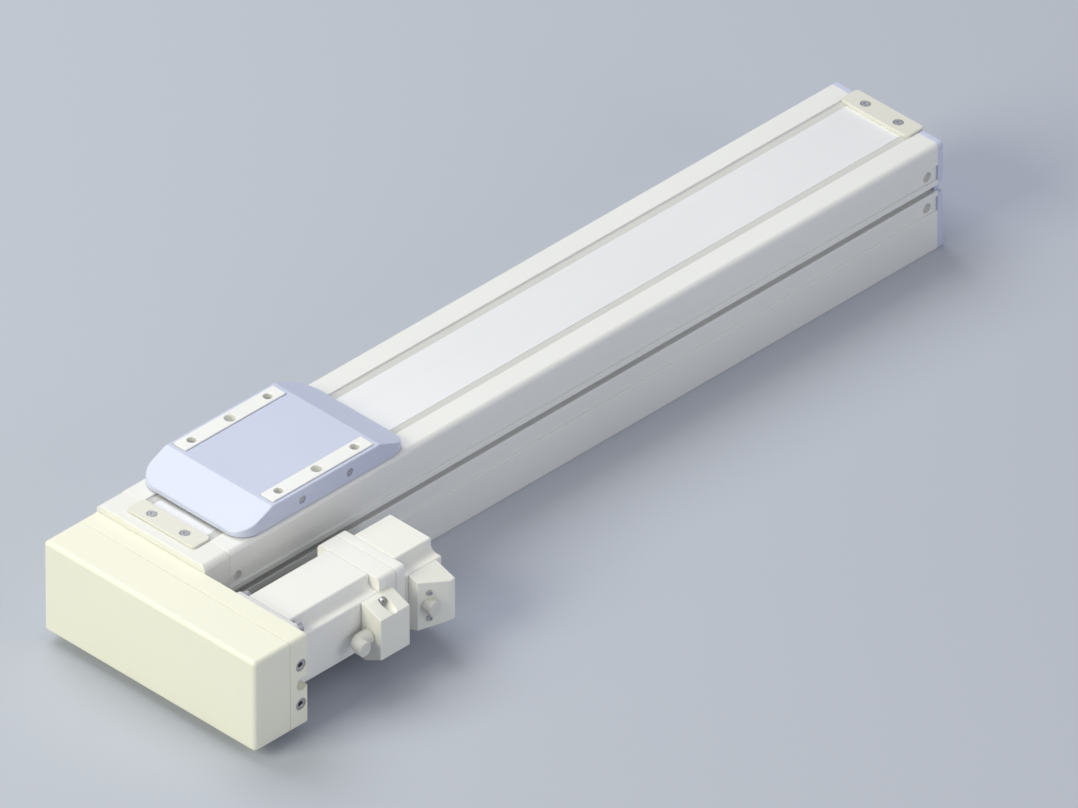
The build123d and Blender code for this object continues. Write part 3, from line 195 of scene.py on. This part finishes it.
def brushedSteel(name, look):
    # metal with a directional grain, given as densities along X, Y and Z
    finish = Finish(name)
    grain = finish.noise(finish.stretched(*look["grain"]), detail=4.0, roughness=0.6)
    stain = finish.noise(finish.place, look["drift"], detail=3.0)
    mixed = grain * look["grainShare"] + stain * (1.0 - look["grainShare"])
    colour = finish.blend(mixed, look["dark"], look["light"])
    rough = look["roughness"] + grain.swing(look["roughGrain"]) + stain.swing(look["roughStain"])
    normal = finish.relief(grain, look["depth"])
    return finish.set(Base_Color=colour, Metallic=look["metallic"], Roughness=rough, Normal=normal)


def moulded(name, look):
    # plastic or rubber out of a fine spark-eroded mould
    finish = Finish(name)
    texture = finish.noise(finish.place, look["texture"], roughness=0.6)
    drift = finish.noise(finish.place, look["drift"])
    colour = finish.blend(drift, look["dark"], look["light"])
    rough = look["roughness"] + texture.swing(look["roughTexture"])
    normal = finish.relief(texture, look["depth"])
    return finish.set(Base_Color=colour, Roughness=rough, Normal=normal)


def machined(name, look):
    # milled aluminium: overlapping feed arcs along Y with a fine grain between them
    finish = Finish(name)
    across, along = finish.axis("X"), finish.axis("Y")
    bow = across * across * look["bow"]
    feed = ((along + bow) * (2 * math.pi / look["pitch"])).sine()
    grain = finish.noise(finish.place, look["grain"])
    drift = finish.noise(finish.place, look["drift"])
    colour = finish.blend(drift, look["dark"], look["light"])
    rough = look["roughness"] + grain.swing(look["roughGrain"]) + feed * look["roughFeed"]
    soft = finish.relief(grain, look["grainDepth"])
    normal = finish.relief(feed, look["feedDepth"], soft)
    return finish.set(Base_Color=colour, Metallic=look["metallic"], Roughness=rough, Normal=normal)


extrusionLook = {
    "light": (0.90, 0.90, 0.89), "dark": (0.79, 0.79, 0.78), "metallic": 0.15,
    "roughness": 0.42, "roughGrain": 0.12, "roughLines": 0.14,
    "grain": 1400.0, "grainDepth": 0.00004, "lines": (900.0, 5.0, 900.0), "lineDepth": 0.00005,
    "lineTint": 0.55, "drift": 6.0,
}
blockLook = {**extrusionLook, "light": (0.84, 0.84, 0.80), "lines": (160.0, 160.0, 160.0), "lineTint": 0.2}
clampLook = {**blockLook, "light": (0.80, 0.79, 0.72), "dark": (0.72, 0.71, 0.65)}
adapterLook = {**blockLook, "light": (0.66, 0.66, 0.64), "dark": (0.58, 0.58, 0.56), "metallic": 0.6}
pulleyLook = {**blockLook, "light": (0.55, 0.56, 0.58), "dark": (0.45, 0.46, 0.48), "metallic": 0.9}

slidePaintLook = {
    "light": (0.60, 0.64, 0.82), "dark": (0.54, 0.58, 0.76), "drift": 9.0,
    "roughness": 0.38, "roughPeel": 0.10, "roughDrift": 0.08, "coat": 0.35, "coatRoughness": 0.22,
    "peel": 620.0, "peelDepth": 0.00008,
    "speck": (1.0, 1.0, 1.0), "speckFine": 3.1, "speckFrom": 0.66, "speckTint": 0.05,
}
boxPaintLook = {
    **slidePaintLook, "light": (0.87, 0.865, 0.75), "dark": (0.83, 0.825, 0.71), "drift": 7.0,
    "roughness": 0.46, "coat": 0.15, "peel": 900.0, "peelDepth": 0.0001, "speckTint": 0.12,
}
motorPaintLook = {**boxPaintLook, "light": (0.87, 0.87, 0.86), "dark": (0.82, 0.82, 0.81), "roughness": 0.4}

stripSteelLook = {
    "light": (0.93, 0.93, 0.93), "dark": (0.82, 0.82, 0.83), "metallic": 0.45,
    "roughness": 0.38, "roughGrain": 0.18, "roughStain": 0.08,
    "grain": (2600.0, 9.0, 900.0), "grainShare": 0.6, "depth": 0.00002, "drift": 4.0,
}
groundLook = {
    **stripSteelLook, "light": (0.68, 0.69, 0.71), "dark": (0.55, 0.56, 0.58), "metallic": 1.0,
    "roughness": 0.28, "grain": (700.0, 2400.0, 700.0), "depth": 0.00001, "drift": 20.0,
}
screwLook = {**groundLook, "light": (0.55, 0.55, 0.56), "dark": (0.40, 0.40, 0.41), "roughness": 0.36}
discLook = {**groundLook, "light": (0.30, 0.32, 0.36), "dark": (0.24, 0.26, 0.30), "roughness": 0.12}

tableLook = {
    "light": (0.92, 0.92, 0.90), "dark": (0.85, 0.85, 0.83), "metallic": 0.3, "drift": 12.0,
    "roughness": 0.36, "roughGrain": 0.12, "roughFeed": 0.03,
    "pitch": 0.0016, "bow": 6.0, "grain": 1500.0, "grainDepth": 0.00002, "feedDepth": 0.000016,
}

encoderLook = {
    "light": (0.86, 0.86, 0.83), "dark": (0.81, 0.81, 0.78), "drift": 10.0,
    "roughness": 0.5, "roughTexture": 0.16, "texture": 1100.0, "depth": 0.00004,
}
magnetLook = {
    **encoderLook, "light": (0.65, 0.65, 0.64), "dark": (0.58, 0.58, 0.57), "drift": 15.0,
    "roughness": 0.6, "texture": 900.0, "depth": 0.00003,
}
connectorLook = {**encoderLook, "light": (0.83, 0.83, 0.79), "dark": (0.78, 0.78, 0.74)}
bootLook = {**encoderLook, "light": (0.70, 0.70, 0.67), "dark": (0.63, 0.63, 0.60), "roughness": 0.62}
holderLook = {**encoderLook, "light": (0.05, 0.05, 0.055), "dark": (0.035, 0.035, 0.04)}
rubberLook = {**holderLook, "light": (0.03, 0.03, 0.03), "dark": (0.018, 0.018, 0.018), "roughness": 0.72}

finishes = {
    "profile_anodised": anodised("clearAnodisedExtrusion", extrusionLook),
    "end_castings": anodised("clearAnodisedBlock", blockLook),
    "clamp_anodised": anodised("warmAnodisedClamp", clampLook),
    "adapter_anodised": anodised("plainAnodisedPlate", adapterLook),
    "pulley_aluminium": anodised("hardAnodisedPulley", pulleyLook),
    "end_plate_paint": powderCoat("lavenderEndPlatePaint", slidePaintLook),
    "slide_paint": powderCoat("lavenderSlidePaint", slidePaintLook),
    "box_paint": powderCoat("creamPowderCoat", boxPaintLook),
    "motor_paint": powderCoat("paleMotorPaint", motorPaintLook),
    "strip_steel": brushedSteel("coldRolledStrip", stripSteelLook),
    "ground_steel": brushedSteel("groundBearingSteel", groundLook),
    "roller_steel": brushedSteel("groundRollerSteel", groundLook),
    "screw_steel": brushedSteel("stainlessScrew", screwLook),
    "encoder_glass": brushedSteel("coatedEncoderDisc", discLook),
    "table_anodised": machined("milledAnodisedTable", tableLook),
    "magnet_band": moulded("paleMagnetBand", magnetLook),
    "encoder_plastic": moulded("ivoryEncoderPlastic", encoderLook),
    "connector_plastic": moulded("ivoryConnectorPlastic", connectorLook),
    "boot_rubber": moulded("greyBootRubber", bootLook),
    "holder_plastic": moulded("blackAcetal", holderLook),
    "belt_rubber": moulded("blackBeltRubber", rubberLook),
    "bumper_rubber": moulded("blackStopRubber", rubberLook),
}
for node, piece in nodes.items():
    piece.data.materials.clear()
    piece.data.materials.append(finishes[slotOfNode[node]])
print("finishes made:", len(finishes))


# Small steps that several pieces share

def deselectAll():
    bpy.ops.object.select_all(action="DESELECT")


def makeActive(piece):
    piece.select_set(True)
    bpy.context.view_layer.objects.active = piece


def applyPlace():
    bpy.ops.object.transform_apply(location=True, rotation=True, scale=True)


def cutAcross(y, **choices):
    # in edit mode, a cut square to the profile's length
    bpy.ops.mesh.select_all(action="SELECT")
    bpy.ops.mesh.bisect(plane_co=(0, y, 0), plane_no=(0, 1, 0), **choices)


# Fine edges: a CAD node's shape with its points joined, its outer edges eased and its curves smooth

edgeLook = {"join": 0.002, "flatten": 0.4, "sharper": 30.0, "smooth": 32.0, "faceWeight": 90}


def easedEdges(node, ease, sharper=edgeLook["sharper"], smooth=edgeLook["smooth"]):
    deselectAll()
    piece = bpy.data.objects.new("eased_" + node, nodes[node].data.copy())
    bpy.context.scene.collection.objects.link(piece)
    makeActive(piece)
    bpy.ops.mesh.customdata_custom_splitnormals_clear()
    bpy.ops.object.mode_set(mode="EDIT")
    bpy.ops.mesh.select_all(action="SELECT")
    bpy.ops.mesh.remove_doubles(threshold=edgeLook["join"] * millimetre)
    if ease:
        bpy.ops.mesh.dissolve_limited(angle_limit=math.radians(edgeLook["flatten"]))
    bpy.ops.object.mode_set(mode="OBJECT")
    if ease:
        edge = piece.modifiers.new("edge", "BEVEL")
        edge.width = ease * millimetre
        edge.segments = 1
        edge.limit_method = "ANGLE"
        edge.angle_limit = math.radians(sharper)
        edge.use_clamp_overlap = False
        bpy.ops.object.modifier_apply(modifier="edge")
    bpy.ops.object.shade_smooth_by_angle(angle=math.radians(smooth))
    flat = piece.modifiers.new("flat", "WEIGHTED_NORMAL")  # keeps large faces flat beside a fillet
    flat.mode = "FACE_AREA"
    flat.weight = edgeLook["faceWeight"]
    flat.keep_sharp = True
    bpy.ops.object.modifier_apply(modifier="flat")
    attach(piece, bodyOfNode[node])
    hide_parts(node)
    return piece


# Width of the eased edge of each piece, and a lower angle where its bends are shallow
easeOf = {
    "profile": 0.3, "drive_end_block": 0.4, "far_end_plate": 0.3, "box_plate": 0.3, "box_cover": 0.3,
    "strip_clamp_near": 0.35, "strip_clamp_far": 0.35, "slide_table": 0.25, "slide_cover": 0.5,
    "motor_adapter": 0.3, "motor_flange": 0.3, "motor_body": 0.3, "motor_end_bell": 0.3, "encoder_base": 0.3,
    "encoder_cover": 0.3, "power_connector": 0.35, "encoder_connector": 0.35, "cable_boots": 0.6,
    "clamp_screws": 0.15, "end_plate_screws": 0.12, "box_screws": 0.2, "motor_screws": 0.2,
    "connector_screws": 0.15, "cover_screws": 0.15, "saddle": 0.4, "bumpers": 0.6,
}
sharperOf = {"slide_cover": 18.0}
for node, ease in easeOf.items():
    easedEdges(node, ease, sharper=sharperOf.get(node, edgeLook["sharper"]))
print("edges eased:", len(easeOf))


# Ball screw: a ball groove wound round the axis between two plain journals

threadLook = {
    "lead": 10.0, "collar": 0.5, "steps": 28, "smooth": 40.0, "join": 0.02,
    "thickShare": 0.98,  # a point this far out, as a share of the radius, belongs to the thick part
    "leadsBefore": 1.5, "spareTurns": 2,  # wound longer than needed, then cut to length
    "groove": [(6.4, 0.0), (0.4, -0.55), (0.7, -0.5), (0.7, -0.2), (0.7, 0.2), (0.7, 0.5), (0.4, 0.55)],
}


def threadedScrew(look):
    screw = easedEdges("ball_screw", 0, smooth=look["smooth"])
    low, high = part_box("ball_screw")
    axisZ = (low[2] + high[2]) / 2
    radius = (high[2] - low[2]) / 2
    outside = radius * look["thickShare"]
    thick = [v.co.y for v in screw.data.vertices if math.hypot(v.co.x, v.co.z - axisZ) > outside]
    start = min(thick) + look["collar"] * millimetre
    end = max(thick) - look["collar"] * millimetre

    # the plain thick part is cut out and its two ends closed
    bpy.ops.object.mode_set(mode="EDIT")
    cutAcross(start)
    cutAcross(end)
    bpy.ops.mesh.select_all(action="DESELECT")
    bpy.ops.object.mode_set(mode="OBJECT")
    for face in screw.data.polygons:
        face.select = start < face.center.y < end
    bpy.ops.object.mode_set(mode="EDIT")
    bpy.ops.mesh.select_mode(type="FACE")
    bpy.ops.mesh.delete(type="FACE")
    bpy.ops.mesh.select_all(action="SELECT")
    bpy.ops.mesh.fill_holes(sides=0)
    bpy.ops.object.mode_set(mode="OBJECT")

    # one turn's outline, from a single point, land first and groove after it
    deselectAll()
    bpy.ops.mesh.primitive_plane_add(size=millimetre)
    thread = bpy.context.object
    thread.name = "ballGroove"
    bpy.ops.object.mode_set(mode="EDIT")
    bpy.ops.mesh.select_mode(type="VERT")
    bpy.ops.mesh.select_all(action="SELECT")
    bpy.ops.mesh.merge(type="CENTER")
    bpy.ops.transform.translate(value=(0, 0, radius))
    for along, deep in look["groove"]:
        step = (0, along * millimetre, deep * millimetre)
        bpy.ops.mesh.extrude_vertices_move(TRANSFORM_OT_translate={"value": step})
    bpy.ops.object.mode_set(mode="OBJECT")

    lead = look["lead"] * millimetre
    wind = thread.modifiers.new("wind", "SCREW")
    wind.axis = "Y"
    wind.screw_offset = lead
    wind.iterations = math.ceil((end - start) / lead) + look["spareTurns"]
    wind.steps = look["steps"]
    wind.render_steps = look["steps"]
    bpy.ops.object.modifier_apply(modifier="wind")
    thread.location = (0, start - look["leadsBefore"] * lead, axisZ)
    applyPlace()
    bpy.ops.object.mode_set(mode="EDIT")
    bpy.ops.mesh.select_all(action="SELECT")
    bpy.ops.mesh.remove_doubles(threshold=look["join"] * millimetre)
    cutAcross(start, clear_inner=True, use_fill=True)
    cutAcross(end, clear_outer=True, use_fill=True)
    bpy.ops.mesh.select_all(action="SELECT")
    bpy.ops.mesh.normals_make_consistent(inside=False)
    bpy.ops.object.mode_set(mode="OBJECT")
    bpy.ops.object.shade_smooth_by_angle(angle=math.radians(look["smooth"]))
    thread.data.materials.append(finishes[slotOfNode["ball_screw"]])
    makeActive(screw)
    bpy.ops.object.join()


threadedScrew(threadLook)
print("ball screw threaded")


# Bearing balls between the rings of the screw's and the motor's bearings

ballLook = {"count": 10, "play": 0.04, "segments": 14, "rings": 9}


def ringSpans(node):
    # each ring of a node as the places along Y where it starts and ends
    levels = sorted({round(v.co.y, 5) for v in nodes[node].data.vertices})
    return list(zip(levels[0::2], levels[1::2]))


def bearingBalls(name, innerNode, look):
    low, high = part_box(innerNode)
    axisX, axisZ = (low[0] + high[0]) / 2, (low[2] + high[2]) / 2
    innerRace = (high[2] - low[2]) / 2
    outerPoints = [v.co for v in nodes["bearing_outer_rings"].data.vertices]
    distances = [math.hypot(point.x - axisX, point.z - axisZ) for point in outerPoints]
    outerRace = min(distance for distance in distances if distance > innerRace)
    orbit = (outerRace + innerRace) / 2
    radius = (outerRace - innerRace) / 2 - look["play"] * millimetre
    places = []
    for start, end in ringSpans(innerNode):
        for index in range(look["count"]):
            angle = 2 * math.pi * index / look["count"]
            place = (axisX + orbit * math.cos(angle), (start + end) / 2, axisZ + orbit * math.sin(angle))
            places.append(place)

    deselectAll()
    bpy.ops.mesh.primitive_uv_sphere_add(
        segments=look["segments"], ring_count=look["rings"], radius=radius, location=places[0]
    )
    balls = bpy.context.object
    balls.name = name
    bpy.ops.object.shade_smooth()
    for place in places[1:]:
        ball = bpy.data.objects.new(name, balls.data.copy())
        ball.location = place
        bpy.context.scene.collection.objects.link(ball)
        ball.select_set(True)
    makeActive(balls)
    bpy.ops.object.join()
    applyPlace()
    balls.data.materials.append(finishes[slotOfNode[innerNode]])
    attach(balls, bodyOfNode[innerNode])
    print(name, len(places), "balls of", round(2 * radius / millimetre, 2), "mm")


bearingBalls("screwBearingBalls", "screw_inner_rings", ballLook)
bearingBalls("motorBearingBalls", "motor_inner_rings", ballLook)


# Toothed belt: its teeth show on the two straight runs, clear of the pulleys that turn under it

beltLook = {"pitch": 5.0, "height": 1.2, "root": 2.7, "tip": 1.9, "fromPulley": 7.5, "sunk": 0.1}


def toothedBelt(look):
    belt = easedEdges("drive_belt", 0)
    low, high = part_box("drive_belt")
    middleY, middleZ = (low[1] + high[1]) / 2, (low[2] + high[2]) / 2
    shaftLow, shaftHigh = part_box("motor_shaft")
    span = (shaftLow[0] + shaftHigh[0]) / 2
    inner = min(abs(v.co.z - middleZ) for v in belt.data.vertices if abs(v.co.x) < millimetre)
    pitch = look["pitch"] * millimetre
    first = look["fromPulley"] * millimetre
    deep = (look["height"] + look["sunk"]) * millimetre
    for side in (1, -1):
        deselectAll()
        z = middleZ + side * (inner + look["sunk"] * millimetre - deep / 2)
        bpy.ops.mesh.primitive_cube_add(size=1.0, location=(first, middleY, z))
        tooth = bpy.context.object
        tooth.name = "beltTooth"
        tooth.scale = (look["root"] * millimetre, high[1] - low[1], deep)
        applyPlace()
        for face in tooth.data.polygons:
            face.select = round(face.normal.z * side) == -1
        bpy.ops.object.mode_set(mode="EDIT")
        bpy.ops.mesh.select_mode(type="FACE")
        tip = (first, middleY, z - side * deep / 2)
        bpy.ops.transform.resize(value=(look["tip"] / look["root"], 1, 1), center_override=tip)
        bpy.ops.object.mode_set(mode="OBJECT")
        row = tooth.modifiers.new("row", "ARRAY")
        row.use_relative_offset = False
        row.use_constant_offset = True
        row.constant_offset_displace = (pitch, 0, 0)
        row.count = int((span - 2 * first) / pitch) + 1
        bpy.ops.object.modifier_apply(modifier="row")
        tooth.data.materials.append(finishes[slotOfNode["drive_belt"]])
        makeActive(belt)
        bpy.ops.object.join()


toothedBelt(beltLook)
print("belt toothed")


# Sealing strip: the near length and the far length as plain boxes cut across into even sections, the far one
# reaching on under the slide

stripLook = {"underSlide": 14.0, "anchorInClamp": 2.0, "lower": 0.01, "cuts": 40}


def stripPiece(name, low, high, look):
    deselectAll()
    middle = [(a + b) / 2 for a, b in zip(low, high)]
    bpy.ops.mesh.primitive_cube_add(size=1.0, location=middle)
    piece = bpy.context.object
    piece.name = name
    piece.scale = [b - a for a, b in zip(low, high)]
    applyPlace()
    bpy.ops.object.mode_set(mode="EDIT")
    for cut in range(1, look["cuts"]):
        cutAcross(low[1] + (high[1] - low[1]) * cut / look["cuts"])
    bpy.ops.object.mode_set(mode="OBJECT")
    piece.data.materials.append(finishes["strip_steel"])
    return piece


lower = stripLook["lower"] * millimetre
nearLow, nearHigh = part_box("strip_near")
stripTop = nearHigh[2]
nearStrip = stripPiece("slidingStripNear", nearLow, (nearHigh[0], nearHigh[1], stripTop - lower), stripLook)
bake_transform(nearStrip)
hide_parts("strip_near")

farLow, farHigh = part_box("strip_far")
farStartY = farLow[1] - stripLook["underSlide"] * millimetre
farBottom, farTop = (farLow[0], farStartY, farLow[2]), (farHigh[0], farHigh[1], farHigh[2] - lower)
farStrip = stripPiece("slidingStripFar", farBottom, farTop, stripLook)
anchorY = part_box("strip_clamp_far")[0][1] + stripLook["anchorInClamp"] * millimetre
jointRanges = {joint["name"]: joint["range_m"] for joint in joints if "range_m" in joint}
restLength = anchorY - farLow[1]
keptShare = (restLength - jointRanges["slide_travel"][1]) / restLength
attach(farStrip, "base")
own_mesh(farStrip)
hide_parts("strip_far")
print("strip lengths made")


# Studio: pale floor just under the module, one soft fill from all round, three soft lamps

floorLook = {
    "size": 60.0,  # metres
    "below": 0.3, "light": (0.50, 0.53, 0.615), "dark": (0.475, 0.505, 0.59), "drift": 0.8,
    "roughness": 0.9, "specular": 0.1,
}


def studioFloor(look):
    deselectAll()
    bpy.ops.mesh.primitive_plane_add(size=look["size"], location=(0, 0, -look["below"] * millimetre))
    floor = bpy.context.object
    floor.name = "studioFloor"
    finish = Finish("paleStudioFloor")
    colour = finish.blend(finish.noise(finish.place, look["drift"]), look["dark"], look["light"])
    paint = finish.set(
        Base_Color=colour, Roughness=look["roughness"], Specular_IOR_Level=look["specular"]
    )
    floor.data.materials.append(paint)


studioFloor(floorLook)

worldLook = {"fill": (0.94, 0.96, 1.0), "fillStrength": 0.36, "backdrop": (0.53, 0.56, 0.63)}


def studioWorld(look):
    # the fill lights the module, and the backdrop is what the camera and the reflections see
    world = bpy.data.worlds.new("studioWorld")
    bpy.context.scene.world = world
    world.use_nodes = True
    tree = world.node_tree
    fill = tree.nodes["Background"]
    fill.inputs["Color"].default_value = (*look["fill"], 1.0)
    fill.inputs["Strength"].default_value = look["fillStrength"]
    backdrop = tree.nodes.new("ShaderNodeBackground")
    backdrop.inputs["Color"].default_value = (*look["backdrop"], 1.0)
    ray = tree.nodes.new("ShaderNodeLightPath")
    mix = tree.nodes.new("ShaderNodeMixShader")
    seen = tree.nodes.new("ShaderNodeMath")
    seen.operation = "MAXIMUM"
    tree.links.new(ray.outputs["Is Camera Ray"], seen.inputs[0])
    tree.links.new(ray.outputs["Is Glossy Ray"], seen.inputs[1])
    tree.links.new(seen.outputs["Value"], mix.inputs["Fac"])
    tree.links.new(fill.outputs["Background"], mix.inputs[1])
    tree.links.new(backdrop.outputs["Background"], mix.inputs[2])
    tree.links.new(mix.outputs["Shader"], tree.nodes["World Output"].inputs["Surface"])


studioWorld(worldLook)

# places and sizes in metres, power in watts
lampLooks = [
    {"name": "keyLamp", "at": (-0.7, -3.6, 2.2), "size": 2.0, "power": 104.0, "colour": (1.0, 0.98, 0.76)},
    {"name": "topLamp", "at": (-1.8, 0.0, 2.8), "size": 2.4, "power": 55.0, "colour": (0.98, 0.99, 1.0)},
    {"name": "sideLamp", "at": (3.2, 0.3, 1.4), "size": 1.6, "power": 19.0, "colour": (1.0, 1.0, 1.0)},
]
aim = Vector((0.03, -0.05, 0.04))


def studioLamp(look):
    lamp = bpy.data.lights.new(look["name"], "AREA")
    lamp.shape = "SQUARE"
    lamp.size = look["size"]
    lamp.energy = look["power"]
    lamp.color = look["colour"]
    holder = bpy.data.objects.new(look["name"], lamp)
    bpy.context.scene.collection.objects.link(holder)
    holder.location = look["at"]
    holder.rotation_euler = (aim - holder.location).to_track_quat("-Z", "Y").to_euler()
    holder.visible_camera = False


for look in lampLooks:
    studioLamp(look)
print("studio lit")


# Camera: the isometric view of the picture, from far away with a long lens

cameraLook = {
    "lens": 1150.0, "sensor": 36.0,
    "lookAt": (0.03006, -0.0242, 0.040), "frameWidth": 0.737, "clipEnd": 100.0,  # metres
    "towards": (1.0, -1.0, 1.0),
}


def isometricCamera(look):
    camera = bpy.data.cameras.new("isometricCamera")
    camera.sensor_width = look["sensor"]
    camera.lens = look["lens"]
    camera.clip_end = look["clipEnd"]
    holder = bpy.data.objects.new("isometricCamera", camera)
    bpy.context.scene.collection.objects.link(holder)
    direction = Vector(look["towards"]).normalized()
    distance = look["frameWidth"] * look["lens"] / look["sensor"]
    holder.location = Vector(look["lookAt"]) + direction * distance
    holder.rotation_euler = direction.to_track_quat("Z", "Y").to_euler()
    bpy.context.scene.camera = holder


isometricCamera(cameraLook)
bpy.context.scene.view_settings.view_transform = "Standard"
print("camera set")

print("scene done")
